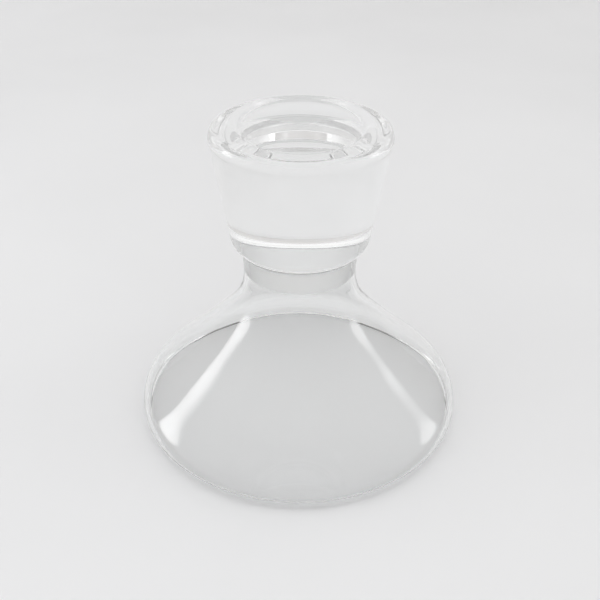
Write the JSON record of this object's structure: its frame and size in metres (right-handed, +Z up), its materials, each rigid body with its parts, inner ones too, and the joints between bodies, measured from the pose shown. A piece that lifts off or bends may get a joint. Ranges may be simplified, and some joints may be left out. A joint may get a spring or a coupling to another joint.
{
  "type": "stoppered flask",
  "caption": "Squat, low, wide-bodied clear glass flask that sweeps up into a short wide neck, with a heavy solid glass stopper that lifts out of its ground mouth.",
  "frame": {"origin": "centre of the foot ring, on the plane that the flask stands on", "axes": "+Z up along the axis of the body, neck and stopper; the object is round about it, so +X and +Y are free"},
  "size_m": [0.1226, 0.1226, 0.1144],
  "materials": {
    "flask_glass": "clear blown glass, fire polished, ground inside the mouth",
    "stopper_glass": "clear solid glass, polished, with a ground taper on the plug"
  },
  "bodies": {
    "flask": {"flask_body": "flask_glass"},
    "stopper": {"stopper": "stopper_glass"}
  },
  "joints": [
    {"name": "stopper_lift", "type": "slide", "parent": "flask", "child": "stopper", "axis": [0, 0, 1], "range_m": [0, 0.03]}
  ]
}
